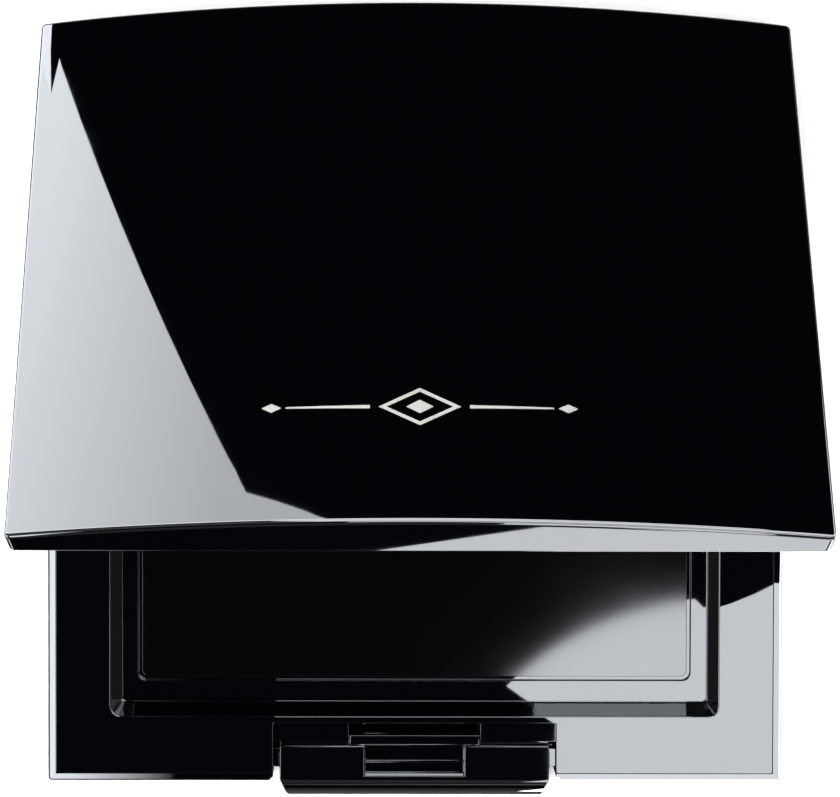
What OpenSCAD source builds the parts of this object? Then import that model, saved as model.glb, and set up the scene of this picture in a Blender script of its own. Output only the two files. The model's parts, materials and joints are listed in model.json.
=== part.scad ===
// Powder compact with a magnetic pan recess, a mirror lid and a push-button latch.
// Millimetres. Origin: centre of the base's flat underside. +Z up, -Y front, +Y hinge side.
// The lid is drawn closed and then turned about the hinge pin to its stored angle.

/* [Base] */
// Width of the base across X
base_w = 73.4; // [62:0.1:92]
// Depth of the base from front wall to rear wall
base_d = 74.4; // [62:0.1:92]
// Height of the base from underside to rim
base_h = 7.6; // [7.3:0.1:12]
// Thickness of the base's side walls
wall = 1.2; // [1.1:0.1:1.6]
// Thickness of the base's floor
floor_t = 1.2; // [0.9:0.1:1.4]
// Height and width of the 45 degree bevel round the rim
rim_bevel = 0.8; // [0.75:0.05:0.9]
// Width of the casing's rim beside the tray
rim_wall = 0.8; // [0.7:0.05:1]
// Radius of the base's upright outer corners
corner_r = 0.35; // [0.2:0.05:0.6]
// Chamfer round the underside
foot_chamfer = 0.4; // [0.2:0.1:0.8]

/* [Tray] */
// Thickness of the tray's flat deck
deck_t = 1.2; // [1:0.1:1.4]
// Width of the deck beside the pan recess, rim included
pan_side = 6.3; // [4:0.1:12]
// Depth of the deck in front of the pan recess, rim included
pan_front = 6.6; // [6.6:0.1:10]
// Depth of the deck behind the pan recess, rim included
pan_rear = 11.5; // [6:0.1:18]
// Depth of the pan recess down to its ledge
pan_depth = 4.4; // [3:0.1:4.6]
// How far the recess walls lean in from mouth to ledge
pan_draft = 0.9; // [0.4:0.1:1.5]
// Width of the ledge beside and behind the magnetic sheet
pan_ledge = 1.65; // [1:0.05:4]
// Width of the ledge in front of the magnetic sheet
pan_ledge_front = 2.2; // [1:0.1:4]
// Thickness of the tray under the magnetic sheet
tub_floor = 0.8; // [0.6:0.1:0.9]
// Thickness of the magnetic sheet
magnet_t = 0.4; // [0.3:0.05:0.45]
// Thickness of the adhesive film under the magnetic sheet
film_t = 0.05; // [0.05:0.01:0.1]
// Drop from the ledge to the magnetic sheet's face
magnet_drop = 0.15; // [0.1:0.01:0.2]
// Gap round the magnetic sheet
magnet_gap = 0.4; // [0.1:0.05:0.8]

/* [Push button] */
// Width of the notch for the button in the front wall
notch_w = 28.4; // [24:0.1:34]
// Depth of the notch from the front face
notch_d = 5.9; // [5.9:0.1:6.1]
// Chamfer on the front wall's corners beside the button
notch_chamfer = 0.4; // [0.1:0.1:0.6]
// Gap on each side of the button in its notch
button_gap = 0.7; // [0.3:0.1:1]
// Travel of the button
button_travel = 1.2; // [0.8:0.1:1.2]
// How far the button's face stands out of the front wall
button_proud = 1.8; // [1.4:0.1:2.2]
// Width of the opening between the button's tabs for the lid's hook
slot_w = 10; // [8:0.1:14]
// Depth of the lowered bar in front of the hook, front lip included
bar_d = 1.5; // [1.3:0.1:1.6]
// How far the button's top lies below the rim
button_drop = 0.3; // [0.2:0.05:0.5]
// Radius of the coil springs behind the button
spring_r = 1.1; // [0.9:0.05:1.2]
// Wire diameter of the coil springs
spring_wire = 0.3; // [0.2:0.05:0.35]
// Turns of each coil spring
spring_turns = 6; // [4:1:7]

/* [Lid] */
// Angle at which the lid stands open in the stored pose
lid_open = 51.5; // [0:0.5:115]
// Thickness of the lid at its sides
lid_side_t = 1.75; // [1.7:0.05:2.5]
// Thickness of the lid in the middle of its front edge
lid_front_t = 3.65; // [3.5:0.05:5]
// Thickness of the lid in the middle of its rear edge
lid_rear_t = 4.6; // [4.2:0.05:6]
// How far each side of the lid flares out from its lower to its upper edge
lid_flare = 0.5; // [0:0.1:1]
// Thickness of the lid's skin
lid_skin = 1.1; // [0.9:0.05:1.1]
// Thickness of the lid's side and front rim
lid_rim = 1.0; // [0.8:0.1:1.2]
// Gap between the closed lid and the base's rim
seat_gap = 0.1; // [0.05:0.01:0.15]

/* [Mirror] */
// Width of the liner round the mirror at the sides, rim included
mirror_side = 5.7; // [5:0.1:12]
// Width of the liner in front of and behind the mirror, rim included
mirror_end = 7.2; // [7:0.1:14]
// Thickness of the mirror glass
mirror_t = 0.9; // [0.7:0.1:0.9]
// Drop from the liner's face to the mirror's face
mirror_inset = 0.2; // [0.1:0.05:0.25]
// Thickness of the tape behind the mirror
tape_t = 0.2; // [0.15:0.05:0.3]
// Width of the lid's latch hook
hook_w = 9; // [6:0.1:9.4]
// Thickness of the hook's stem
hook_t = 0.9; // [0.7:0.05:1]
// Reach of the hook's barb
barb = 0.7; // [0.5:0.05:0.75]

/* [Hinge] */
// Overall length of the hinge's knuckles
hinge_w = 30; // [24:0.5:50]
// Length of the lid's middle knuckle
lid_knuckle_w = 13.8; // [8:0.1:20]
// Outer radius of the knuckles
knuckle_r = 1.5; // [1.3:0.05:1.6]
// Distance of the pin's axis inside the rear face
pin_inset = 0.3; // [0.25:0.01:0.33]
// Radius of the steel hinge pin
pin_r = 0.55; // [0.4:0.05:0.6]
// Running clearance round the pin in the lid's knuckle
pin_clearance = 0.05; // [0.02:0.01:0.09]
// Gap between neighbouring knuckles
knuckle_gap = 0.15; // [0.1:0.05:0.3]

/* [Ornament] */
// Overall width of the stamped ornament
ornament_w = 28.8; // [20:0.1:40]
// Height of the ornament's middle diamond
ornament_h = 5.0; // [3:0.1:7]
// Distance from the lid's front edge to the ornament's middle
ornament_y = 15.1; // [8:0.1:40]
// Thickness of the stamped foil
ornament_t = 0.04; // [0.03:0.01:0.1]
// Width of the ornament's lines
ornament_line = 0.45; // [0.3:0.05:0.8]

/* [Hidden] */
$fn = 64;

fit = 0.05;              // slip gap between pieces that drop into each other
over = 1;                // how far a cutting shape runs past what it cuts
front = -base_d / 2;
rear = base_d / 2;
deck_z = base_h - deck_t;

// pan recess
pan_x = base_w / 2 - pan_side;
pan_y0 = front + pan_front;
pan_y1 = rear - pan_rear;
ledge_z = base_h - pan_depth;
pocket_z = ledge_z - magnet_drop - magnet_t - film_t;
tub_z = pocket_z - tub_floor;
tub_side = 1.2;
pocket_x = pan_x - pan_draft - pan_ledge;
pocket_y0 = pan_y0 + pan_draft + pan_ledge_front;
pocket_y1 = pan_y1 - pan_draft - pan_ledge;

// button and latch, along Y
notch_y = front + notch_d;
button_x = notch_w / 2 - button_gap;
stop_y = front + wall;               // inner face of the front wall, which stops the ears
ear_y = stop_y + fit;                // front of the button's ears
ear_w = 1.7;                         // how far an ear reaches past the button's side
ear_d = 1.9;
face_chamfer = 0.8;                  // how far the face's ends are cut back
press_gap = 0.1;                     // gap left behind the button when it is pressed
button_rear = notch_y - button_travel - press_gap;
catch_t = 1.05;                      // thickness of the catch bar along Y
catch_y = button_rear - catch_t;     // front face of the catch bar
hook_gap = 0.15;                     // clearance round the hook in the button
hook_rear = catch_y - hook_gap;
hook_front = hook_rear - hook_t;
lip_y = front + 0.2;                 // front lip of the button's top
lip_t = 0.35;
bar_y = lip_y + bar_d;               // rear face of the lowered bar in front of the hook
face_y = front - button_proud;
tab_rear = notch_y - 2.35;           // rear edge of the tabs' top
shelf_y = tab_rear + 0.35;           // front edge of the tray's shelf behind the tabs
web_y = shelf_y - button_travel - press_gap;

// button and latch, along Z
button_top = base_h - button_drop;
tab_z = button_top - 0.8;            // underside of the tabs
shelf_z1 = tab_z - press_gap;
shelf_z0 = shelf_z1 - 0.7;
body_top = shelf_z0 - press_gap;
body_z = floor_t + press_gap;
catch_top = button_top - 0.6;        // top of the catch bar, over the hook's barb
catch_z = catch_top - 0.8;
catch_x = slot_w / 2 + 1.5;          // half width of the block that carries the catch bar
barb_z1 = catch_z - hook_gap;
barb_z0 = barb_z1 - 0.8;
hook_nose = 0.6;                     // chamfer on the front of the hook's tip
bar_top = barb_z0 - hook_gap;        // top of the lowered bar, which passes under the hook
slot_z = barb_z0 - 0.4;              // bottom of the opening for the hook
toe_z = 0.3;                         // underside of the button in front of the floor
spring_x = (slot_w / 2 + button_x) / 2;
spring_z = (body_z + body_top) / 2;
spring_front = button_rear - 3.2;    // bottom of the spring's pocket
rail_t = 1;                          // thickness of the casing's guide rails
rail_x = button_x + ear_w + press_gap;

// lid and hinge
lid_z = base_h + seat_gap;
axis_y = rear - pin_inset;
axis_z = base_h + seat_gap / 2;
sweep_r = knuckle_r + 0.45;          // room cut round a knuckle for the other half
knuckle_x = lid_knuckle_w / 2;
hinge_x = hinge_w / 2;
tongue_y = axis_y - sweep_r - fit;   // where tray and liner end in front of the hinge
tongue_x = hinge_x + 0.6;
gusset_h = 2.6;                      // height over which a knuckle fairs into its wall
frame_t = lid_side_t - lid_skin;
mirror_x = base_w / 2 - mirror_side;
mirror_y = base_d / 2 - mirror_end;
tape_z = lid_z + mirror_inset + mirror_t;
rib_pitch = (mirror_x - 8) / 2;
rib_t = 0.9;
arc_steps = 24;
face_steps = 12;

function crown(x, middle) =
    lid_side_t + (middle - lid_side_t) * (1 - pow(x / (base_w / 2 + lid_flare), 2));

// A plate with round upright corners, centred on the Z axis
module rounded_plate(w, d, h, r) {
    linear_extrude(h) union() {
        square([w - 2 * r, d], center = true);
        square([w, d - 2 * r], center = true);
        for (sx = [-1, 1], sy = [-1, 1]) translate([sx * (w / 2 - r), sy * (d / 2 - r)]) circle(r);
    }
}

// A box from its lowest to its highest corner
module span(low, high) {
    translate(low) cube(high - low);
}

// A triangular bar that cuts a 45 degree chamfer, lying along X with its right angle up and out
module chamfer_bar(length, size) {
    rotate([90, 0, 90]) translate([0, 0, -length / 2])
        linear_extrude(length) polygon([[-size, over], [-size, 0], [0, -size], [over, -size], [over, over]]);
}

// Chamfer bars along all four upper edges of a box
module edge_chamfers(w, d, size) {
    for (s = [0, 180]) rotate(s) translate([0, d / 2, 0]) chamfer_bar(w + 2 * over, size);
    for (s = [90, 270]) rotate(s) translate([0, w / 2, 0]) chamfer_bar(d + 2 * over, size);
}

// A cylinder along X from x0 to x1 about the hinge axis
module on_axis(r, x0, x1) {
    translate([x0, axis_y, axis_z]) rotate([0, 90, 0]) cylinder(r = r, h = x1 - x0);
}

// Turns what is drawn closed to the lid's stored angle
module lid_turned() {
    translate([0, axis_y, axis_z]) rotate([-lid_open, 0, 0]) translate([0, -axis_y, -axis_z]) children();
}

// ---- base ----

// Fairs a knuckle into the rear wall: up is -1 under the axis for the base, 1 over it for the lid
module knuckle_gusset(x0, x1, up) {
    translate([x0, axis_y, axis_z]) rotate([90, 0, 90]) linear_extrude(x1 - x0)
        polygon([[pin_inset - wall, 0], [knuckle_r, 0], [pin_inset, up * gusset_h],
            [pin_inset - wall, up * gusset_h]]);
}

module base_shell() color("#0a0a0c") difference() {
    union() {
        difference() {
            rounded_plate(base_w, base_d, base_h, corner_r);
            translate([0, 0, floor_t])
                rounded_plate(base_w - 2 * wall, base_d - 2 * wall, base_h, corner_r);
            translate([0, 0, deck_z])
                rounded_plate(base_w - 2 * rim_wall, base_d - 2 * rim_wall, base_h, corner_r);
            translate([0, 0, base_h]) edge_chamfers(base_w, base_d, rim_bevel);
            rotate([180, 0, 0]) edge_chamfers(base_w, base_d, foot_chamfer);
        }
        // block that carries the hinge, and the two outer knuckles
        span([-tongue_x + fit, tongue_y + fit, floor_t - fit], [tongue_x - fit, rear - rim_bevel, base_h]);
        for (s = [-1, 1]) {
            x0 = s < 0 ? -hinge_x : knuckle_x + knuckle_gap;
            x1 = s < 0 ? -knuckle_x - knuckle_gap : hinge_x;
            on_axis(knuckle_r, x0, x1);
            knuckle_gusset(x0, x1, -1);
        }
        // pads under the tray
        for (sx = [-1, 1], y = [pocket_y0 + 6, pocket_y1 - 6])
            translate([sx * (pocket_x - 6), y, floor_t]) cylinder(r = 3, h = tub_z - floor_t);
        // guide rails beside the button's ears
        for (s = [0, 1]) mirror([s, 0, 0])
            span([rail_x, stop_y - fit, floor_t - fit], [rail_x + rail_t, notch_y - press_gap, shelf_z1]);
    }
    // notch for the button through the front wall, with chamfered corners
    span([-notch_w / 2, front - over, -over], [notch_w / 2, stop_y, base_h + over]);
    for (s = [0, 1]) mirror([s, 0, 0])
        translate([notch_w / 2, front, -over]) linear_extrude(base_h + 2 * over)
            polygon([[-over, -over], [notch_chamfer + over, -over], [0, notch_chamfer], [-over, notch_chamfer]]);
    // room for the lid's knuckle, and the bore for the pin
    on_axis(sweep_r, -knuckle_x - knuckle_gap, knuckle_x + knuckle_gap);
    span([-knuckle_x - knuckle_gap, axis_y, axis_z - sweep_r],
        [knuckle_x + knuckle_gap, rear + knuckle_r + over, base_h + over]);
    on_axis(pin_r, -hinge_x - over, hinge_x + over);
}

// A frustum with a rectangular mouth, wider at the top, cut with four leaning half spaces
module pan_cut() {
    d = pan_depth;
    lean = pan_draft;
    intersection() {
        translate([0, pan_y1 + over, base_h]) rotate([90, 0, 0])
            linear_extrude(pan_y1 - pan_y0 + 2 * over)
                polygon([[-pan_x - lean * over / d, over], [-pan_x + lean, -d], [pan_x - lean, -d],
                    [pan_x + lean * over / d, over]]);
        translate([-pan_x - over, 0, base_h]) rotate([90, 0, 90])
            linear_extrude(2 * (pan_x + over))
                polygon([[pan_y0 - lean * over / d, over], [pan_y0 + lean, -d], [pan_y1 - lean, -d],
                    [pan_y1 + lean * over / d, over]]);
    }
}

module base_tray() color("#0b0b0d") difference() {
    union() {
        difference() {
            translate([0, 0, deck_z])
                rounded_plate(base_w - 2 * (rim_wall + fit), base_d - 2 * (rim_wall + fit), deck_t, corner_r);
            span([-notch_w / 2, front - over, deck_z - over], [notch_w / 2, notch_y, base_h + over]);
        }
        // tub round the pan recess
        span([-pan_x - tub_side, notch_y, tub_z], [pan_x + tub_side, pan_y1 + tub_side, deck_z + fit]);
        // shelves over the springs, behind the tabs
        for (s = [0, 1]) mirror([s, 0, 0])
            span([catch_x + press_gap, shelf_y, shelf_z0], [notch_w / 2 + fit, notch_y + fit, shelf_z1]);
    }
    pan_cut();
    span([-pocket_x, pocket_y0, pocket_z], [pocket_x, pocket_y1, base_h]);
    // room for the hinge
    span([-tongue_x, tongue_y, deck_z - over], [tongue_x, rear + over, base_h + over]);
}

module magnet_adhesive() color("#c8c4b8")
    span([-pocket_x + magnet_gap, pocket_y0 + magnet_gap, pocket_z],
        [pocket_x - magnet_gap, pocket_y1 - magnet_gap, pocket_z + film_t]);

module magnet_sheet() color("#3a3b3e")
    span([-pocket_x + magnet_gap, pocket_y0 + magnet_gap, pocket_z + film_t],
        [pocket_x - magnet_gap, pocket_y1 - magnet_gap, pocket_z + film_t + magnet_t]);

module hinge_pin() color("#b8bcc0") on_axis(pin_r, -hinge_x + fit, hinge_x - fit);

// ---- button ----

// Outline across the tabs, as (Y, Z) points, with the face as an elliptical arc from lip to toe
module tab_profile() {
    toe_y = stop_y - button_travel - press_gap;
    face_h = button_top - toe_z;
    polygon(concat(
        [[tab_rear, button_top], [tab_rear, tab_z], [web_y, tab_z],
            [web_y, body_top], [button_rear, body_top], [button_rear, body_z],
            [toe_y, body_z], [toe_y, toe_z]],
        [for (i = [0:face_steps]) let (a = 120 * (i / face_steps) - 30)
            [lip_y - (lip_y - face_y) * cos(a), toe_z + face_h * (sin(a) + 0.5) / 1.5]]
    ));
}

module push_button() color("#0a0a0c") difference() {
    union() {
        translate([-button_x, 0, 0]) rotate([90, 0, 90]) linear_extrude(2 * button_x) tab_profile();
        // block behind the tabs that carries the catch bar
        span([-catch_x, web_y - fit, body_top - over], [catch_x, button_rear, catch_top]);
        // ears that stop the button behind the front wall
        for (s = [0, 1]) mirror([s, 0, 0])
            span([button_x - fit, ear_y, body_z], [button_x + ear_w, ear_y + ear_d, body_top]);
    }
    // lowered bar, and the opening for the hook between the tabs
    span([-slot_w / 2, lip_y + lip_t, bar_top], [slot_w / 2, bar_y + over, button_top + over]);
    span([-slot_w / 2, bar_y, slot_z], [slot_w / 2, catch_y, button_top + over]);
    // room for the barb under the catch bar
    span([-slot_w / 2, bar_y, slot_z], [slot_w / 2, button_rear + over, catch_z]);
    // chamfered ends of the face
    for (s = [0, 1]) mirror([s, 0, 0])
        translate([button_x, lip_y, -over]) linear_extrude(base_h + 2 * over)
            polygon([[over, 0], [0, 0], [-face_chamfer, face_y - lip_y],
                [-face_chamfer, face_y - lip_y - over], [over, face_y - lip_y - over]]);
    // pockets for the springs
    for (s = [-1, 1])
        translate([s * spring_x, button_rear + over, spring_z]) rotate([90, 0, 0])
            cylinder(r = spring_r + 0.15, h = button_rear + over - spring_front);
}

// A coil of round wire along +Y, from y0 to y1
module coil(y0, y1, r, wire, turns) {
    per_turn = 16;
    sides = 8;
    rings = turns * per_turn;
    mean = r - wire / 2;
    pitch = (y1 - y0 - wire) / turns;
    points = [for (i = [0:rings], j = [0:sides - 1])
        let (a = 360 * i / per_turn, b = 360 * j / sides, rr = mean + wire / 2 * cos(b))
            [rr * cos(a), y0 + wire / 2 + pitch * i / per_turn + wire / 2 * sin(b), rr * sin(a)]];
    tube = [for (i = [0:rings - 1], j = [0:sides - 1])
        let (k = (j + 1) % sides)
            [i * sides + j, i * sides + k, (i + 1) * sides + k, (i + 1) * sides + j]];
    ends = [[for (j = [sides - 1:-1:0]) j], [for (j = [0:sides - 1]) rings * sides + j]];
    polyhedron(points = points, faces = concat(tube, ends), convexity = 10);
}

module spring_at(x) color("#c9ccd0")
    translate([x, 0, spring_z])
        coil(spring_front + fit, notch_y - fit, spring_r, spring_wire, spring_turns);

module button_spring_left() spring_at(-spring_x);

module button_spring_right() spring_at(spring_x);

// ---- lid, drawn closed ----

// A thin upright slice of the lid's outline, half width x at its foot, lowered by drop
module lid_slice(foot_x, top_x, foot_z, middle, drop) {
    rotate([90, 0, 0]) linear_extrude(0.01, center = true)
        polygon(concat([[-foot_x, foot_z], [foot_x, foot_z]],
            [for (i = [0:arc_steps]) let (x = top_x * (1 - 2 * i / arc_steps)) [x, crown(x, middle) - drop]]));
}

// The lid as one solid, its foot at z = 0; it shrinks by rim at the sides and by skin on top
module lid_body(rim_x, front_y, rear_y, skin, foot_z) {
    hull() {
        translate([0, front_y, 0])
            lid_slice(base_w / 2 - rim_x, base_w / 2 + lid_flare - rim_x, foot_z, lid_front_t, skin);
        translate([0, rear_y, 0])
            lid_slice(base_w / 2 - rim_x, base_w / 2 + lid_flare - rim_x, foot_z, lid_rear_t, skin);
    }
}

module lid_shell() color("#09090b") lid_turned() difference() {
    union() {
        translate([0, 0, lid_z]) difference() {
            lid_body(0, front, rear, 0, 0);
            difference() {
                lid_body(lid_rim, front + lid_rim, rear - wall, lid_skin, -over);
                // block that carries the hinge, and ribs that back the mirror's tape
                span([-tongue_x + fit, tongue_y + fit, -2 * over], [tongue_x - fit, rear, lid_rear_t]);
                for (x = [-2:2])
                    span([x * rib_pitch - rib_t / 2, -mirror_y + 4, mirror_inset + mirror_t + tape_t],
                        [x * rib_pitch + rib_t / 2, mirror_y - 4, lid_rear_t]);
            }
        }
        on_axis(knuckle_r, -knuckle_x, knuckle_x);
        knuckle_gusset(-knuckle_x, knuckle_x, 1);
    }
    // room for the base's knuckles, and the running bore for the pin
    for (x = [-hinge_x - knuckle_gap, knuckle_x])
        on_axis(sweep_r, x, x + hinge_x + knuckle_gap - knuckle_x);
    on_axis(pin_r + pin_clearance, -hinge_x - over, hinge_x + over);
}

module mirror_frame() color("#0c0c0e") lid_turned() {
    difference() {
        span([-base_w / 2 + lid_rim + fit, front + lid_rim + fit, lid_z],
            [base_w / 2 - lid_rim - fit, rear - wall - fit, lid_z + frame_t - fit]);
        span([-mirror_x, -mirror_y, lid_z - over], [mirror_x, mirror_y, lid_z + frame_t + over]);
        span([-tongue_x, tongue_y, lid_z - over], [tongue_x, rear + over, lid_z + frame_t + over]);
    }
    // latch hook with its barb pointing to the rear
    translate([-hook_w / 2, 0, 0]) rotate([90, 0, 90]) linear_extrude(hook_w)
        polygon([[hook_front, lid_z + fit], [hook_front, barb_z0 + hook_nose],
            [hook_front + hook_nose, barb_z0], [hook_rear + 0.1, barb_z0],
            [hook_rear + barb, barb_z0 + 0.4], [hook_rear + barb, barb_z1], [hook_rear, barb_z1],
            [hook_rear, lid_z + fit]]);
}

module mirror_adhesive() color("#d8d6cf") lid_turned()
    span([-mirror_x + 7, -mirror_y + 4, tape_z], [mirror_x - 7, mirror_y - 4, tape_z + tape_t]);

module mirror_glass() color("#dfe6ea") lid_turned()
    span([-mirror_x + fit, -mirror_y + fit, lid_z + mirror_inset],
        [mirror_x - fit, mirror_y - fit, lid_z + mirror_inset + mirror_t]);

// ---- ornament on the lid ----

module diamond(w, h) polygon([[-w / 2, 0], [0, h / 2], [w / 2, 0], [0, -h / 2]]);

module ornament_outline() {
    difference() {
        diamond(ornament_h * 1.5, ornament_h);
        diamond(ornament_h * 1.5 - 3.2 * ornament_line, ornament_h - 2.2 * ornament_line);
    }
    diamond(ornament_h * 0.5, ornament_h * 0.36);
    for (s = [-1, 1]) {
        x0 = s * (ornament_h * 0.75 + 0.8);
        x1 = s * (ornament_w / 2 - 2.2);
        polygon([[x0, ornament_line / 2], [x1, 0.1], [x1, -0.1], [x0, -ornament_line / 2]]);
        translate([s * (ornament_w / 2 - 0.9), 0]) diamond(1.8, 1.2);
    }
}

module lid_ornament() color("#d9dadb") lid_turned() translate([0, 0, lid_z]) difference() {
    intersection() {
        translate([0, front + ornament_y, lid_side_t]) linear_extrude(lid_rear_t) ornament_outline();
        translate([0, 0, ornament_t]) lid_body(0, front, rear, 0, 0);
    }
    lid_body(0, front, rear, 0, 0);
}

base_shell();
base_tray();
magnet_adhesive();
magnet_sheet();
hinge_pin();
button_spring_left();
button_spring_right();
push_button();
lid_shell();
mirror_frame();
mirror_adhesive();
mirror_glass();
lid_ornament();
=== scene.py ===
"""Powder compact in black gloss plastic, standing half open on a white studio floor. Metres."""
import json
import math

import bpy
from mathutils import Matrix, Vector
from mathutils.geometry import tessellate_polygon


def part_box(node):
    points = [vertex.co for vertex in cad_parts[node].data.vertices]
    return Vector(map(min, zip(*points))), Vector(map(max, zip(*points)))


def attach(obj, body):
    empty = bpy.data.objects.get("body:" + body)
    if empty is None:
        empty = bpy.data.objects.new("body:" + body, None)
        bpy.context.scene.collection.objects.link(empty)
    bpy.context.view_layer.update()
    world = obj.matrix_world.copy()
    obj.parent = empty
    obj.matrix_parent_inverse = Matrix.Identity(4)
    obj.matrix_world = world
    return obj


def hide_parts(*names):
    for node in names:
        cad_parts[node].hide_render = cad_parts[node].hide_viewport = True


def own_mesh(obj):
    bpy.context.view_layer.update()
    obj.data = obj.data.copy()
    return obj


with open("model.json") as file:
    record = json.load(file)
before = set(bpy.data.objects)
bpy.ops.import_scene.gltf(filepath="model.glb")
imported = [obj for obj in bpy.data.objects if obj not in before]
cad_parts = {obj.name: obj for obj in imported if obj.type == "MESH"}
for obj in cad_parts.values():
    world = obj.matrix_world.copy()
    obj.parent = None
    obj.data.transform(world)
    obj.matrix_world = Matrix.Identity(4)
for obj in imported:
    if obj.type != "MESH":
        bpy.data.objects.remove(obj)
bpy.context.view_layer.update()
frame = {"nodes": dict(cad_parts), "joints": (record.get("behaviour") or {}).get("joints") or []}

MM = 0.001
UP = Vector((0, 0, 1))
scene = bpy.context.scene
nodes = frame["nodes"]


# ---- places taken from the frame; from here on sizes are in millimetres ----

hinge = next(j for j in frame["joints"] if j["name"] == "lid_hinge")
hinge_at = Vector(hinge["pos_m"])
lid_open = math.radians(-hinge["range_deg"][0])
shut_to_open = (Matrix.Translation(hinge_at) @ Matrix.Rotation(-lid_open, 4, "X")
                @ Matrix.Translation(-hinge_at))
axis_y, axis_z = hinge_at.y / MM, hinge_at.z / MM


def corners(name):
    """A node's lowest and highest corner in millimetres."""
    return [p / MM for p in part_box(name)]


def shut_points(name):
    """The corners of a lid node, in millimetres, with the lid shut."""
    turn = shut_to_open.inverted()
    return [(turn @ v.co) / MM for v in nodes[name].data.vertices]


def shut_box(name):
    points = shut_points(name)
    return [Vector([pick(p[i] for p in points) for i in range(3)]) for pick in (min, max)]


# lid
LID_GAP = 0.1                                # between the rim and the shut lid
SIDE_T = 1.75                                # the lid's height at its sides
LID_R = 0.6                                  # corners in plan
LID_EDGE_IN, LID_EDGE_R = 0.9, 0.45          # where the crown ends, and the round edge outside it
LID_RIM, LID_SKIN = 1.0, 1.1                 # wall and top thickness
LID_STEP_X, LID_STEP_Y = 1.5, 3.0            # spacing of the crown's grid
ARC_STEPS, ARC_END = 8, 1.48                 # steps and last angle of the cut's arc, short of its top (rad)

shell_low, shell_high = corners("base_shell")
tray_low, tray_high = corners("base_tray")
button_half = corners("push_button")[1].x
lid_high = shut_box("lid_shell")[1]

half_w = shell_high.x
front = shell_low.y
rear = -front
rim_z = tray_high.z
lid_half = lid_high.x
foot_z = rim_z + LID_GAP
front_top = max(p.z for p in shut_points("lid_shell") if abs(p.y - front) < 0.1) - foot_z
rear_top = lid_high.z - foot_z

# casing
WALL, RIM_WALL, FLOOR_T, BEVEL, FOOT = 1.2, 0.8, 1.2, 0.8, 0.4
CASING_R = 0.35                              # corners in plan
BEVEL_STEP, BEVEL_STEPS = 0.06, 7            # close steps that start the bevel at the rim
BLOCK_X, BLOCK_IN = 15.55, rear - 34.95      # block that carries the hinge
BLOCK_Z = (5, 7)                             # levels on the block's inner face
CUT_X, CUT_R, CUT_ARC = 7.05, 1.95, 98.85    # room for the lid's knuckle, and the arc it takes (degrees)
KNUCKLE_R, KNUCKLE_X, HINGE_X, GUSSET = 1.5, 6.9, 15.0, 2.6
LID_CUT_X, LID_CUT_WALL = 15.15, 0.2         # the lid's own cut round the hinge, and the wall left behind it
EDGE, SOFT_EDGE, FINE_EDGE = 0.1, 0.08, 0.06 # radii of the moulded edges
LAP = 0.3                                    # how far a wall's flat end reaches past its rounded edge

# notch, button guides and tray
FIT = 0.05                                   # gap between moulded pieces
NOTCH_X = 14.2
NOTCH_Y = front + 5.9
RAIL_GAP, RAIL_T, RAIL_Z = 0.1, 1.0, 5.6     # rails beside the button's ears
DECK_T = 1.2
DECK_R = 0.15
MOUTH_X, MOUTH_FRONT, MOUTH_REAR, MOUTH_R = 30.4, -30.6, 25.7, 1.0
RECESS_DEPTH, RECESS_LEAN = 4.4, 0.9         # the recess's walls lean in by this much
LEDGE, LEDGE_FRONT, LEDGE_R = 1.65, 2.2, 0.35
POCKET_Z, POCKET_R, MAGNET_R = 2.6, 0.9, 0.7 # pocket for the magnetic sheet, and the sheet's corners
TUB_SIDE, TUB_R = 1.2, 0.5                   # wall of the tub under the deck
SHELF_X, SHELF_Z, SHELF_IN = 6.6, 5.7, 2     # shelves over the springs

# ---- camera: nearly overhead, a long lens ----

camera_data = bpy.data.cameras.new("camera")
camera_data.sensor_width = 36
camera_data.lens = 234.3
camera = bpy.data.objects.new("camera", camera_data)
camera.location = (-4.66 * MM, 31.82 * MM, 552.02 * MM)
camera.rotation_euler = [math.radians(a) for a in (-3.217, -0.532, 0.129)]
scene.collection.objects.link(camera)
scene.camera = camera


# ---- materials ----

def linear(hex_colour):
    """An sRGB hex colour as linear RGBA."""
    parts = [int(hex_colour[i:i + 2], 16) / 255 for i in (1, 3, 5)]
    return [c / 12.92 if c <= 0.04045 else ((c + 0.055) / 1.055) ** 2.4 for c in parts] + [1]


def per_metre(size_mm):
    """The texture scale that gives features of about this size."""
    return 1 / (size_mm * MM)


def add(tree, kind, settings=None, inputs=None):
    """Adds a node with its settings; inputs are values or sockets to link from."""
    made = tree.nodes.new(kind)
    for name, value in (settings or {}).items():
        setattr(made, name, value)
    for name, value in (inputs or {}).items():
        if isinstance(value, bpy.types.NodeSocket):
            tree.links.new(value, made.inputs[name])
        else:
            made.inputs[name].default_value = value
    return made


def new_tree(owner):
    owner.use_nodes = True
    owner.node_tree.nodes.clear()
    return owner.node_tree


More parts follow.
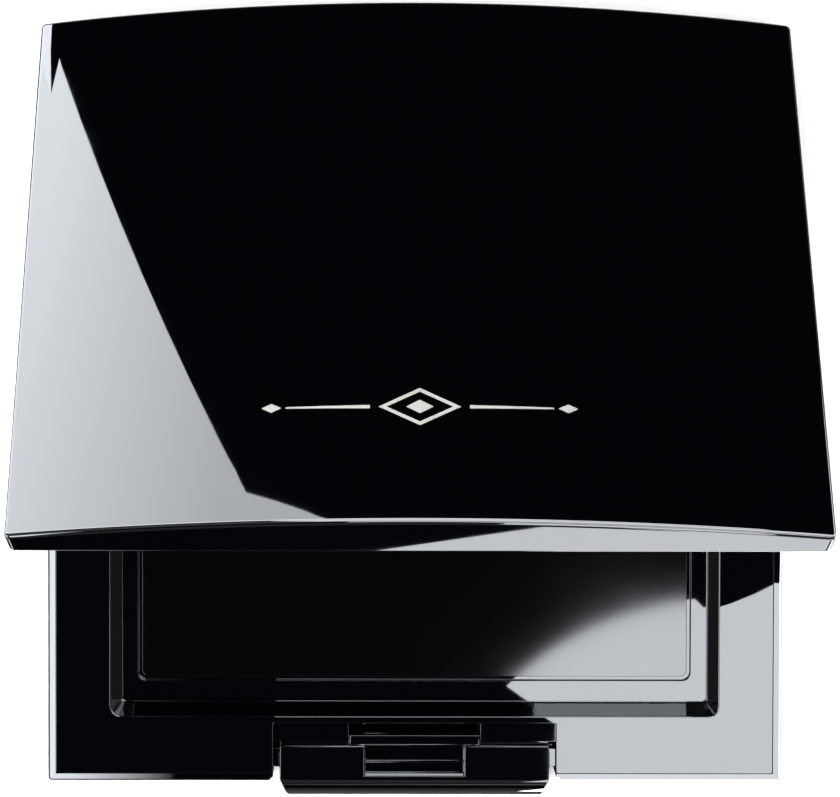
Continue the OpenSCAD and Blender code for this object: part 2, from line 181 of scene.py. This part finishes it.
def surface(name, colour, roughness, inputs=None, haze_mm=9, haze=0.01,
            grain_mm=0, grain=0, stretch=(1, 1, 1)):
    """A material with a slow change of roughness over it and, if asked, a fine grain in its surface."""
    material = bpy.data.materials.new(name)
    tree = new_tree(material)
    place = add(tree, "ShaderNodeTexCoord").outputs["Object"]
    slow = add(tree, "ShaderNodeTexNoise", inputs={
        "Vector": place, "Scale": per_metre(haze_mm), "Detail": 3.0})
    rough = add(tree, "ShaderNodeMapRange", inputs={
        "Value": slow.outputs["Fac"], "From Min": 0.3, "From Max": 0.7,
        "To Min": roughness - haze, "To Max": roughness + haze})
    settings = {"Base Color": linear(colour), "Roughness": rough.outputs["Result"]}
    if grain:
        pulled = add(tree, "ShaderNodeVectorMath", {"operation": "MULTIPLY"})
        tree.links.new(place, pulled.inputs[0])
        pulled.inputs[1].default_value = stretch
        fine = add(tree, "ShaderNodeTexNoise", inputs={
            "Vector": pulled.outputs["Vector"], "Scale": per_metre(grain_mm), "Detail": 2.0})
        bump = add(tree, "ShaderNodeBump", inputs={
            "Height": fine.outputs["Fac"], "Strength": 1.0, "Distance": grain * MM})
        settings["Normal"] = bump.outputs["Normal"]
    settings.update(inputs or {})
    shader = add(tree, "ShaderNodeBsdfPrincipled", inputs=settings)
    add(tree, "ShaderNodeOutputMaterial", inputs={"Surface": shader.outputs[0]})
    return material


# ABS moulded in a mirror-polished tool: near black, sharp reflections, a faint tool haze
gloss = surface("black_abs_polished_mould", "#030305", 0.009, {"IOR": 1.53}, haze=0.005)
# the same ABS from a finely sparked tool, for the liner round the mirror
satin = surface("black_abs_sparked_mould", "#0B0B0D", 0.32, {"IOR": 1.53}, haze=0.05,
                grain_mm=0.12, grain=0.004)
# calendered sheet of rubber filled with ferrite, its face smooth from the rollers
ferrite = surface("ferrite_rubber_calendered", "#030304", 0.036, {"IOR": 1.52}, haze_mm=14, haze=0.008)
# double-sided acrylic film
film = surface("acrylic_adhesive_film", "#C8C4B8", 0.35, haze=0.05)
# closed-cell foam tape, cut from a roll
foam = surface("polyethylene_foam_tape", "#D8D6CF", 0.8, haze=0.05, grain_mm=0.25, grain=0.02)
# float glass silvered on its back: the silver is seen through clear glass
silvered = surface("float_glass_silvered", "#EDF1F2", 0.012, {"Metallic": 1.0}, haze=0.004, haze_mm=20)
# stainless pin, centreless ground: fine rings round it
ground = surface("stainless_pin_ground", "#B9BBBD", 0.22, {"Metallic": 1.0}, haze=0.04, grain_mm=0.08,
                 grain=0.002, stretch=(1, 0.05, 0.05))
# hard-drawn spring wire, faintly scored along its length by the die
drawn = surface("spring_wire_drawn", "#A9ABAE", 0.28, {"Metallic": 1.0}, haze=0.05,
                grain_mm=0.05, grain=0.002)
# silver foil pressed on with a hot die: bright, with the fine orange peel of the plastic under it
stamped = surface("silver_foil_hot_stamped", "#6A6862", 0.42, {"Metallic": 0.75}, haze=0.06, haze_mm=3,
                  grain_mm=0.18, grain=0.012)


# ---- mesh building ----

class Skin:
    """Corners and faces in millimetres, with their shading normals; corners in one place are shared."""

    def __init__(self):
        self.points, self.index, self.faces, self.normals = [], {}, [], []

    def face(self, points, normals=None, facing=None):
        """Adds one face. Without normals it is flat; facing turns it to look that way."""
        if facing is not None:
            area = Vector()
            for i, p in enumerate(points):
                area += Vector(points[i - 1]).cross(Vector(p))
            if area.dot(facing) < 0:
                points = list(reversed(points))
                normals = list(reversed(normals)) if normals else None
        kept, kept_normals = [], []
        for i, point in enumerate(points):
            key = tuple(round(c, 4) + 0.0 for c in point)
            at = self.index.setdefault(key, len(self.points))
            if at == len(self.points):
                self.points.append(Vector(key))
            if at not in kept:
                kept.append(at)
                kept_normals.append(normals[i] if normals else Vector())
        if len(kept) > 2:
            self.faces.append(kept)
            self.normals.append(kept_normals)

    def strips(self, rings, closed=True, steps=()):
        """Joins a stack of (points, normals) rings; between the stations in steps the faces are flat."""
        for (a, normals_a), (b, normals_b) in zip(rings, rings[1:]):
            n = len(a)
            for i in range(n if closed else n - 1):
                j = (i + 1) % n
                flat = i in steps
                self.face([a[i], b[i], b[j], a[j]],
                          None if flat else [normals_a[i], normals_b[i], normals_b[j], normals_a[j]])

    def sheet(self, outer, holes=(), facing=UP):
        """A flat face between an outline and the outlines of its holes."""
        loops = [list(outer)] + [list(h) for h in holes]
        flat = [p for loop in loops for p in loop]
        for triangle in tessellate_polygon(loops):
            self.face([flat[i] for i in triangle], facing=facing)

    def piece(self, name, body, slot, material, stands_for=None, place=Matrix()):
        """Makes the object, in metres, moved to its place, and ties it to its CAD body."""
        mesh = bpy.data.meshes.new(name)
        mesh.from_pydata([place @ (p * MM) for p in self.points], [], self.faces)
        turn = place.to_3x3()
        mesh.polygons.foreach_set("use_smooth", [normals[0].length > 0 for normals in self.normals])
        mesh.normals_split_custom_set([tuple(turn @ n) for normals in self.normals for n in normals])
        mesh.materials.append(material)
        made = bpy.data.objects.new(name, mesh)
        scene.collection.objects.link(made)
        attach(made, body)
        if stands_for:
            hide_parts(stands_for)
        return made


def rounded(rings, tangents, radii, steps=4):
    """Rounds the section through a stack of matching rings: a list of (points, normals) rings.

    tangents has one direction per station, or one such list per ring; radii has one size per ring.
    """
    made = []
    last = len(rings) - 1
    for k, ring in enumerate(rings):
        along = tangents[k] if isinstance(tangents[0], list) else tangents
        before_ring, after_ring = rings[max(k - 1, 0)], rings[min(k + 1, last)]
        round_steps = steps if 0 < k < last and radii[k] else 0
        for s in range(round_steps + 1):
            points, normals = [], []
            for before, at, after, tangent in zip(before_ring, ring, after_ring, along):
                if round_steps:
                    t = s / steps
                    a = at + (before - at).normalized() * radii[k]
                    b = at + (after - at).normalized() * radii[k]
                    points.append(a * (1 - t) ** 2 + at * (2 * t * (1 - t)) + b * t ** 2)
                    slope = (at - a) * (1 - t) + (b - at) * t
                else:
                    points.append(at)
                    slope = after - before
                normals.append(slope.cross(tangent).normalized())
            made.append((points, normals))
    return made


def outline(turns, radius, z, inset=0, steps=6):
    """A closed outline with right-angled, rounded corners, anticlockwise, moved inwards by inset:
    (points, tangents)."""
    points, tangents = [], []
    for i in range(len(turns)):
        before, at, after = (Vector((*turns[(i + k) % len(turns)], 0)) for k in (-1, 0, 1))
        u, v = (at - before).normalized(), (after - at).normalized()
        side = 1 if u.cross(v).z > 0 else -1
        r = max(radius - inset * side, 0.02)
        inward = UP.cross(u)
        centre = at + (inward + UP.cross(v)) * inset - u * r + inward * side * r
        for s in range(steps + 1):
            a = math.pi / 2 * s / steps
            points.append(centre - inward * side * r * math.cos(a) + u * r * math.sin(a) + UP * z)
            tangents.append(u * math.cos(a) + v * math.sin(a))
    return points, tangents


def box_turns(x0, x1, y0, y1):
    return [(x0, y0), (x1, y0), (x1, y1), (x0, y1)]


def plate(skin, turns, radius, z0, z1, edge):
    """A flat plate with rounded edges, closed all round."""
    (low, along), (high, _) = outline(turns, radius, z0), outline(turns, radius, z1)
    top, bottom = outline(turns, radius, z1, 3 * edge)[0], outline(turns, radius, z0, 3 * edge)[0]
    skin.strips(rounded([top, high, low, bottom], along, [0, edge, edge, 0]))
    skin.sheet(top)
    skin.sheet(bottom, facing=-UP)


def bar(skin, profile, x0, x1, edge):
    """A bar along X with rounded ends; its profile holds (y, z) pairs, and goes +y over its top."""
    middle = sum((Vector((0, *p)) for p in profile), Vector()) / len(profile)
    rings = []
    for x, shrink in ((x0, 0.7), (x0, 1), (x1, 1), (x1, 0.7)):
        rings.append([middle + (Vector((0, *p)) - middle) * shrink + Vector((x, 0, 0)) for p in profile])
    n = len(profile)
    along = [(rings[1][(i + 1) % n] - rings[1][i - 1]).normalized() for i in range(n)]
    skin.strips(rounded(rings, along, [0, edge, edge, 0]))
    skin.face(rings[0], facing=Vector((-1, 0, 0)))
    skin.face(rings[-1], facing=Vector((1, 0, 0)))


def knuckle_profile(up):
    """The knuckle's circle and the gusset that fairs it into its wall, over (1) or under (-1) the pin."""
    gusset = [(rear - WALL, axis_z + up * GUSSET), (rear, axis_z + up * GUSSET)]
    if up < 0:
        arc = [math.radians(180 - 10 * i) for i in range(19)]
        gusset.reverse()
    else:
        arc = [math.radians(-10 * i) for i in range(19)]
    return [(axis_y + KNUCKLE_R * math.cos(a), axis_z + KNUCKLE_R * math.sin(a)) for a in arc] + gusset


# ---- stations round the casing and the lid ----

class Station:
    """One place on a box's outline: where it is at a given inset, and which way the outline runs there."""

    def __init__(self, at, inward, zone="plain", corner=None, angle=0, radius=0):
        self.at, self.inward, self.zone = Vector(at), Vector(inward), zone
        self.corner, self.radius = corner, radius
        self.radial = Vector((math.cos(angle), math.sin(angle), 0))
        self.tangent = UP.cross(self.radial) if corner else self.inward.cross(UP)

    def point(self, inset, z, shift=0):
        if self.corner:
            sx, sy = self.corner
            keep = max(inset, self.radius)
            centre = self.at - Vector((sx * (keep + shift), sy * keep, 0))
            return centre + self.radial * max(self.radius - inset, 0) + UP * z
        sideways = Vector((self.inward.x * shift, 0, 0))
        return self.at + self.inward * inset + sideways + UP * z


def round_box(half_x, radius, front_from, front_to, rear_stops, xs, ys, corner_steps=5):
    """Stations anticlockwise round a box, from the front's middle: rear_stops holds (x, zone) pairs."""
    made = [Station((x, front, 0), (0, 1, 0), zone) for x, zone in front_from]
    made += [Station((x, front, 0), (0, 1, 0)) for x in xs if x > made[-1].at.x]

    def corner(sx, sy, start):
        for s in range(corner_steps + 1):
            angle = math.radians(start + 90 * s / corner_steps)
            made.append(Station((sx * half_x, sy * rear, 0), (0, 0, 0), "plain", (sx, sy), angle, radius))

    corner(1, -1, -90)
    made.extend(Station((half_x, y, 0), (-1, 0, 0)) for y in ys)
    corner(1, 1, 0)
    made.extend(Station((x, rear, 0), (0, -1, 0), zone) for x, zone in rear_stops)
    corner(-1, 1, 90)
    made.extend(Station((-half_x, y, 0), (1, 0, 0)) for y in reversed(ys))
    corner(-1, -1, 180)
    made += [Station((x, front, 0), (0, 1, 0)) for x in xs if x < front_to[0][0]]
    made += [Station((x, front, 0), (0, 1, 0), zone) for x, zone in front_to]
    return made


def step_places(stations):
    """Stations after which the section changes while the place stays the same."""
    return {i for i, s in enumerate(stations[:-1]) if (s.at - stations[i + 1].at).length < 1e-6
            and not s.corner}


# ---- base casing ----

def casing():
    skin = Skin()
    stops = [(half_w - 2, "plain"), (BLOCK_X, "plain"), (BLOCK_X, "block"), (CUT_X, "block"), (CUT_X, "cut")]
    stops += [(-x, zone) for x, zone in reversed(stops)]
    chamfered = NOTCH_X + FOOT
    stations = round_box(half_w, CASING_R, [(NOTCH_X, "end"), (chamfered, "plain")],
                         [(-chamfered, "plain"), (-NOTCH_X, "end")], stops, [], [front + 2, rear - 2])

    # each section holds (inset, z) pairs, from the floor's inner face over the rim to the foot
    bevel = [(BEVEL - BEVEL_STEP * j, rim_z - BEVEL_STEP * j) for j in range(1, BEVEL_STEPS + 1)]
    foot = [(0, FOOT), (FOOT, 0)]
    wall_foot = [(0, rim_z - BEVEL)] + foot
    block = [(BLOCK_IN, z) for z in (FLOOR_T, *BLOCK_Z, rim_z)]
    turns = [math.radians(180 + CUT_ARC * j / ARC_STEPS) for j in range(1, ARC_STEPS + 1)]
    arc = [(rear - axis_y - CUT_R * math.cos(a), axis_z + CUT_R * math.sin(a)) for a in turns]
    deck_z = rim_z - DECK_T
    sections = {
        "plain": [(WALL, FLOOR_T), (WALL, deck_z), (RIM_WALL, deck_z), (RIM_WALL, rim_z)] + bevel + wall_foot,
        "block": block + [(BEVEL, rim_z)] + bevel[1:] + wall_foot,
        "cut": block + arc + foot,
    }
    sections["end"] = [(max(d, FOOT), z) for d, z in sections["plain"]]
    radii = [0, 0.1, 0.05, 0.03, 0.03] + [0] * 6 + [0.3, EDGE, EDGE]
    under = [s.point(2 * FOOT, 0) for s in stations]
    rings = [[s.point(*sections[s.zone][k]) for s in stations] for k in range(len(sections["plain"]))]
    rings.append(under)
    made = rounded(rings, [s.tangent for s in stations], radii + [0])
    skin.strips(made, closed=False, steps=step_places(stations))
    # floor, its front edge in the notch, and the front wall's two ends
    ends = [Vector((s * NOTCH_X, front + WALL, z)) for s in (1, -1) for z in (0, FLOOR_T)]
    skin.sheet(rings[0])
    skin.sheet(under + [ends[2], ends[0]], facing=-UP)
    skin.face([ends[0], ends[1], ends[3], ends[2]], facing=Vector((0, -1, 0)))
    for at, inner, way in ((0, ends[0], -1), (-1, ends[2], 1)):
        skin.face([ring[at] for ring, _ in made] + [inner], facing=Vector((way, 0, 0)))
    for s in (-1, 1):
        x0, x1 = sorted((s * CUT_X, s * HINGE_X))
        bar(skin, knuckle_profile(-1), x0, x1, EDGE)
        # guide rails beside the button's ears
        x0, x1 = sorted((s * (button_half + RAIL_GAP), s * (button_half + RAIL_GAP + RAIL_T)))
        turns = box_turns(x0, x1, front + WALL - FIT, NOTCH_Y - RAIL_GAP)
        plate(skin, turns, EDGE, FLOOR_T - FIT, RAIL_Z, SOFT_EDGE)
    return skin.piece("casing", "base", "black_gloss", gloss, "base_shell")


# ---- tray ----

def tray():
    skin = Skin()
    x, y = half_w - RIM_WALL - FIT, rear - RIM_WALL - FIT
    tongue_x, tongue_y = BLOCK_X + FIT, rear - BLOCK_IN - FIT
    edge = [(-x, -y), (-NOTCH_X, -y), (-NOTCH_X, NOTCH_Y), (NOTCH_X, NOTCH_Y), (NOTCH_X, -y), (x, -y), (x, y),
            (tongue_x, y), (tongue_x, tongue_y), (-tongue_x, tongue_y), (-tongue_x, y), (-x, y)]
    deck_z = rim_z - DECK_T
    deck, along = outline(edge, DECK_R, rim_z, LAP)
    rings = [deck]
    for z, inset in ((rim_z, 0), (deck_z, 0), (deck_z, LAP)):
        rings.append(outline(edge, DECK_R, z, inset)[0])
    skin.strips(rounded(rings, along, [0, 0.04, 0.04, 0]))
    # recess: pocket floor, pocket wall, ledge, leaning wall, mouth
    mouth_x, y0, y1 = MOUTH_X, MOUTH_FRONT, MOUTH_REAR
    mouth = box_turns(-mouth_x, mouth_x, y0, y1)
    ledge_x, y0, y1 = mouth_x - RECESS_LEAN, y0 + RECESS_LEAN, y1 - RECESS_LEAN
    ledge = box_turns(-ledge_x, ledge_x, y0, y1)
    pocket_x, y0, y1 = ledge_x - LEDGE, y0 + LEDGE_FRONT, y1 - LEDGE
    pocket = box_turns(-pocket_x, pocket_x, y0, y1)
    ledge_z = rim_z - RECESS_DEPTH
    rings = [outline(turns, radius, z, inset) for turns, radius, z, inset in (
        (pocket, POCKET_R, POCKET_Z, LAP), (pocket, POCKET_R, POCKET_Z, 0), (pocket, POCKET_R, ledge_z, 0),
        (ledge, LEDGE_R, ledge_z, 0), (mouth, MOUTH_R, rim_z, 0), (mouth, MOUTH_R, rim_z, -0.4))]
    points = [ring for ring, _ in rings]
    skin.strips(rounded(points, rings[0][1], [0, 0.1, 0.07, 0.22, 0.13, 0]))
    skin.sheet(points[0])
    skin.sheet(deck, [points[-1]])
    # tub under the deck
    tub = box_turns(-MOUTH_X - TUB_SIDE, MOUTH_X + TUB_SIDE, NOTCH_Y, MOUTH_REAR + TUB_SIDE)
    high, along = outline(tub, TUB_R, deck_z)
    low, under = outline(tub, TUB_R, tray_low.z)[0], outline(tub, TUB_R, tray_low.z, 0.6)[0]
    skin.strips(rounded([high, low, under], along, [0, 0.2, 0]))
    skin.sheet(under, facing=-UP)
    # shelves over the springs
    for s in (-1, 1):
        x0, x1 = sorted((s * SHELF_X, s * (NOTCH_X + FIT)))
        turns = box_turns(x0, x1, NOTCH_Y - SHELF_IN, NOTCH_Y + LAP)
        plate(skin, turns, SOFT_EDGE, SHELF_Z, deck_z, FINE_EDGE)
    return skin.piece("tray", "base", "black_gloss", gloss, "base_tray")


# ---- lid ----

def crown(x, y, inset=0):
    """(height, normal) of the lid's top, shut, at a place; inset lowers it for the inner face."""
    middle = front_top + (rear_top - front_top) * (y - front) / (rear - front)
    across = 1 - (x / lid_half) ** 2
    lean_x = -2 * (middle - SIDE_T) * x / lid_half ** 2
    lean_y = (rear_top - front_top) / (rear - front) * across
    return foot_z + SIDE_T + (middle - SIDE_T) * across - inset, Vector((-lean_x, -lean_y, 1)).normalized()


def lid():
    skin = Skin()
    xs = [LID_STEP_X * i for i in range(-24, 25)]
    stops = [(BLOCK_X, "plain"), (BLOCK_X, "block"), (LID_CUT_X, "block"), (LID_CUT_X, "cut"),
             (KNUCKLE_X, "cut"), (KNUCKLE_X, "block")]
    stops += [(x, "plain") for x in xs if x > BLOCK_X]
    stops += [(x, "cut") for x in xs if KNUCKLE_X < x < LID_CUT_X]
    stops += [(x, "block") for x in xs if 0 < x < KNUCKLE_X]

    def order(stop):
        """From the corner to the middle; where two share a place, the zone met first comes first."""
        x, zone = stop
        return -x, (("plain", "block", "cut") if x > KNUCKLE_X else ("cut", "block")).index(zone)

    right = sorted(stops, key=order)
    rear_stops = right + [(0.0, "block")] + [(-x, zone) for x, zone in reversed(right)]
    all_xs = sorted({x for x, _ in rear_stops})
    ys = [LID_STEP_Y * i for i in range(-12, 13)]
    negative = [x for x in all_xs if x < 0]
    stations = round_box(lid_half, LID_R, [(0.0, "plain")], [(negative[-1], "plain")], rear_stops, all_xs, ys)
    flat = [s.tangent for s in stations]
    rising = []
    for s in stations:
        p = s.point(0, 0)
        normal = crown(p.x, p.y)[1]
        level = s.tangent.copy()
        level.z = -(normal.x * level.x + normal.y * level.y) / normal.z
        rising.append(level)

    def on_top(inset):
        made = []
        for s in stations:
            p = s.point(inset, 0)
            made.append(Vector((p.x, p.y, crown(p.x, p.y)[0])))
        return made

    start = math.asin((rear - axis_y) / CUT_R)
    arcs = [start + (ARC_END - start) * j / ARC_STEPS for j in range(ARC_STEPS + 1)]
    walls = []
    for j, a in enumerate(arcs):
        ring = []
        for s, top in zip(stations, on_top(0)):
            if s.zone == "cut":
                ring.append(s.point(rear - axis_y + CUT_R * math.sin(a) - 2 * (rear - axis_y) * (j == 0),
                                    axis_z + CUT_R * math.cos(a)))
            else:
                t = 0.4 + 0.5 * j / ARC_STEPS    # keeps the rings evenly spaced down a plain wall
                foot = s.point(0, foot_z, lid_half - half_w)
                ring.append(top.lerp(foot, t))
        walls.append(ring)
    foot = [s.point(BLOCK_IN, foot_z) if s.zone == "cut" else s.point(0, foot_z, lid_half - half_w)
            for s in stations]

    def inner(z):
        made = []
        for s in stations:
            wall = WALL if s.inward.y < 0 else LID_RIM
            inset = {"cut": BLOCK_IN + LID_CUT_WALL, "block": BLOCK_IN}.get(s.zone, wall)
            made.append(s.point(inset, z, lid_half - half_w))
        return made

    ceiling = []
    for p in inner(0):
        ceiling.append(Vector((p.x, p.y, crown(p.x, p.y, LID_SKIN)[0])))
    rings = [on_top(LID_EDGE_IN), on_top(0)] + walls + [foot, inner(foot_z), ceiling]
    radii = [0, LID_EDGE_R] + [0] * len(walls) + [0.12, 0.06, 0]
    tangents = [rising, rising] + [flat] * (len(rings) - 2)
    made = rounded(rings, tangents, radii, 5)
    made[0] = (made[0][0], [crown(p.x, p.y)[1] for p in made[0][0]])
    skin.strips(made, steps=step_places(stations))
    # the crown, as a grid that meets the first ring
    columns = [-lid_half + LID_EDGE_IN] + all_xs + [lid_half - LID_EDGE_IN]
    rows = [front + LID_EDGE_IN] + ys + [rear - LID_EDGE_IN]
    for x0, x1 in zip(columns, columns[1:]):
        for y0, y1 in zip(rows, rows[1:]):
            at = [(x0, y0), (x1, y0), (x1, y1), (x0, y1)]
            skin.face([Vector((x, y, crown(x, y)[0])) for x, y in at], [crown(x, y)[1] for x, y in at])
    skin.sheet(made[-1][0], facing=-UP)
    bar(skin, knuckle_profile(1), -KNUCKLE_X, KNUCKLE_X, EDGE)
    return skin.piece("lid_cover", "lid", "black_gloss", gloss, "lid_shell", shut_to_open)


def magnet():
    """The magnetic sheet and the film under it, punched out together with round corners."""
    for name, slot, material, node in (("magnet_foil", "magnet_rubber", ferrite, "magnet_sheet"),
                                       ("magnet_film", "adhesive_film", film, "magnet_adhesive")):
        low, high = corners(node)
        skin = Skin()
        edge = min(FINE_EDGE, (high.z - low.z) / 3)
        plate(skin, box_turns(low.x, high.x, low.y, high.y), MAGNET_R, low.z, high.z, edge)
        skin.piece(name, "base", slot, material, node)


casing()
tray()
lid()
magnet()

# ---- pieces carried over from the CAD, their sharp edges rounded by modifiers ----


def soften(name, width, segments=3):
    """Rounds a CAD piece's sharp edges: its mesh is cleaned first, so that the bevel runs evenly."""
    piece = nodes[name]
    weld = piece.modifiers.new("weld", "WELD")
    weld.merge_threshold = 0.002 * MM
    flat = piece.modifiers.new("flat", "DECIMATE")
    flat.decimate_type = "DISSOLVE"
    flat.angle_limit = math.radians(0.5)
    bevel = piece.modifiers.new("bevel", "BEVEL")
    bevel.width = width * MM
    bevel.segments = segments
    bevel.limit_method = "ANGLE"
    bevel.angle_limit = math.radians(30)
    bevel.use_clamp_overlap = False
    bevel.harden_normals = False
    smooth = piece.modifiers.new("normals", "WEIGHTED_NORMAL")
    smooth.mode = "FACE_AREA"
    for face in piece.data.polygons:
        face.use_smooth = True


finishes = {
    "push_button": gloss, "mirror_frame": satin, "mirror_glass": silvered, "mirror_adhesive": foam,
    "hinge_pin": ground, "button_spring_left": drawn, "button_spring_right": drawn, "lid_ornament": stamped,
}
for name, material in finishes.items():
    nodes[name].data.materials.clear()
    nodes[name].data.materials.append(material)
soften("push_button", 0.1)
soften("mirror_frame", 0.08)
soften("mirror_glass", 0.12)
for name in ("hinge_pin", "button_spring_left", "button_spring_right"):
    for face in nodes[name].data.polygons:
        face.use_smooth = True

# each spring gets its own copy of its mesh
for name in ("button_spring_left", "button_spring_right"):
    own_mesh(nodes[name])

# ---- stage: floor, cards that are only seen reflected, lights ----


def card(name, corners_mm, strength, fade=None):
    """A flat studio card, seen only in reflections.

    fade holds two places along X (mm) and the strength at each, and is used in place of strength.
    """
    mesh = bpy.data.meshes.new(name)
    mesh.from_pydata([[c * MM for c in p] for p in corners_mm], [], [range(len(corners_mm))])
    material = bpy.data.materials.new(name)
    tree = new_tree(material)
    level = strength
    if fade:
        place = add(tree, "ShaderNodeTexCoord").outputs["Object"]
        parts = add(tree, "ShaderNodeSeparateXYZ", inputs={"Vector": place})
        level = add(tree, "ShaderNodeMapRange", inputs={
            "Value": parts.outputs["X"], "From Min": fade[0] * MM, "From Max": fade[1] * MM,
            "To Min": fade[2], "To Max": fade[3]}).outputs["Result"]
    glow = add(tree, "ShaderNodeEmission", inputs={"Color": linear("#F4F9FF"), "Strength": level})
    add(tree, "ShaderNodeOutputMaterial", inputs={"Surface": glow.outputs[0]})
    mesh.materials.append(material)
    made = bpy.data.objects.new(name, mesh)
    scene.collection.objects.link(made)
    made.visible_camera = False
    made.visible_diffuse = False
    made.visible_shadow = False
    return made


def upright(y, outline_xz):
    """Corners of a card that stands across Y."""
    return [(x, y, z) for x, z in outline_xz]


def side(x, y0, y1, z0, z1):
    """Corners of an oblong card that stands across X."""
    return [(x, y0, z0), (x, y1, z0), (x, y1, z1), (x, y0, z1)]


def oblong(x0, x1, low, high):
    """Corners of an oblong in a card's own plane."""
    return [(x0, low), (x1, low), (x1, high), (x0, high)]


def overhead(outline_xy):
    """Corners of a card that lies level over the compact."""
    return [(x, y, TOP_Z) for x, y in outline_xy]


def bowed(start, end, sag, steps=8):
    """A shallow curve from start to end that stands sag mm off the straight line at its middle."""
    run, rise = end[0] - start[0], end[1] - start[1]
    length = math.hypot(run, rise)
    made = []
    for k in range(steps + 1):
        t = k / steps
        off = sag * 4 * t * (1 - t) / length
        made.append((start[0] + run * t - rise * off, start[1] + rise * t + run * off))
    return made


FAR = 900                                    # some cards run on this far, out of every reflection
TOP_Z, BEHIND_Y, FRONT_Y, LEFT_X, RIGHT_X = 700, 600, -600, -600, 600    # planes that the cards stand in
wedge_tip, wedge_bend = (-172, -131), (-66, -18)

# over the base: its near edge bows, and draws the bright part of the deck and the ledge
card("card_overhead", overhead([
    (38, -700), (38, -112), *bowed((27, -104), (70, -84), 4), *bowed((72, -86), (110, -60), -4),
    (140, -60), (140, -700)]), 13.5)
# behind and to the left: the long bright wedge down the lid
card("card_lid_left", upright(BEHIND_Y, [
    (-FAR, -400), (-180, -143), wedge_tip, (-170, -138), *bowed((-168, -135), wedge_bend, 3),
    (-30, -8), (60, -4), (60, 120), (-FAR, 120)]), 0, (-165, -75, 11.6, 7.6))
# its upper rim, which draws a white line along the lid's front edge
card("card_lid_rim", upright(BEHIND_Y - 1, [
    (-FAR, -6), (-100, -3), (150, -3), (150, 90), (-FAR, 90)]), 19)
# the strip of light down the lid's left edge, beside the wedge
card("card_lid_edge", upright(BEHIND_Y, [
    (-FAR, -395), (-180, -141), wedge_tip, (-175, -142), (-178, -160), (-230, -230), (-FAR, -600)]), 13)
# high behind: the light line on every edge that faces the hinge
card("card_back_high", upright(BEHIND_Y, oblong(-60, FAR, 150, FAR)), 14)
card("card_back_top", overhead(oblong(-26, 300, 70, 230)), 18)
card("card_left_top", overhead(oblong(-240, -140, -300, 100)), 18)
# in front: the band in the lid's front wall
card("card_front", upright(FRONT_Y, [(-70, 141), (60, 160), (60, 420), (700, 420), (700, 141)]), 11)
# low in front: the bevel of the base, bright at the right and fading in from the left end
card("card_front_low", upright(FRONT_Y, oblong(33, 600, -120, 0)), 11)
card("card_front_under", upright(FRONT_Y, oblong(33, 600, -600, -120)), 18)
card("card_front_low_left", upright(FRONT_Y, oblong(-600, -44, -120, 0)), 0, (-66, -44, 12, 0))
# at the sides: the bevels, and the edges that face away from them
card("card_left", side(LEFT_X, -500, 400, -100, 60), 14.5)
card("card_left_high", side(LEFT_X, -300, 200, 150, 600), 14)
card("card_right", side(RIGHT_X, -400, -68, -100, 40), 11.2)
card("card_right_under", side(RIGHT_X, -400, -68, -600, -100), 18)
card("card_right_back", side(RIGHT_X, 120, FAR, -300, 400), 14)

floor_mesh = bpy.data.meshes.new("floor")
FLOOR_HALF = 3                               # metres
floor_mesh.from_pydata([(x, y, 0) for x, y in oblong(-FLOOR_HALF, FLOOR_HALF, -FLOOR_HALF, FLOOR_HALF)],
                       [], [range(4)])
floor_mesh.materials.append(surface("matt_white_paint", "#F4F4F4", 0.9, haze=0.02, haze_mm=200))
floor = bpy.data.objects.new("floor", floor_mesh)
scene.collection.objects.link(floor)
floor.visible_glossy = False

world = bpy.data.worlds.new("studio")
scene.world = world
sky = new_tree(world)
way = add(sky, "ShaderNodeTexCoord").outputs["Generated"]
height = add(sky, "ShaderNodeSeparateXYZ", inputs={"Vector": way})
lift = add(sky, "ShaderNodeMapRange", inputs={"Value": height.outputs["Z"], "From Min": -1.0})
ramp = add(sky, "ShaderNodeValToRGB", inputs={"Fac": lift.outputs["Result"]})
# brightness by the height looked at: -1 straight down, 1 straight up
sky_levels = [(-1, 0.0), (-0.93, 0.0), (-0.86, 0.5), (-0.42, 0.5), (-0.33, 0.0),
              (0.2, 0.0), (0.5, 0.9), (0.88, 0.9), (0.96, 0.0), (1, 0.0)]
for i, (z, level) in enumerate(sky_levels):
    at = (z + 1) / 2
    stop = ramp.color_ramp.elements[i] if i < 2 else ramp.color_ramp.elements.new(at)
    stop.position = at
    stop.color = (level, level, level * 1.02, 1)
toward = add(sky, "ShaderNodeMapRange", inputs={
    "Value": height.outputs["Y"], "From Min": -0.8, "From Max": 0.3, "To Min": 0.3, "To Max": 1.0})
back = add(sky, "ShaderNodeBackground", inputs={
    "Color": ramp.outputs["Color"], "Strength": toward.outputs["Result"]})
add(sky, "ShaderNodeOutputWorld", inputs={"Surface": back.outputs[0]})

lamp_data = bpy.data.lights.new("softbox", "AREA")
lamp_data.shape = "DISK"
lamp_data.size = 1.2
lamp_data.energy = 40
lamp = bpy.data.objects.new("softbox", lamp_data)
lamp.location = (-0.2, -0.2, 1.5)
lamp.visible_glossy = False
scene.collection.objects.link(lamp)
scene.view_settings.view_transform = "Standard"
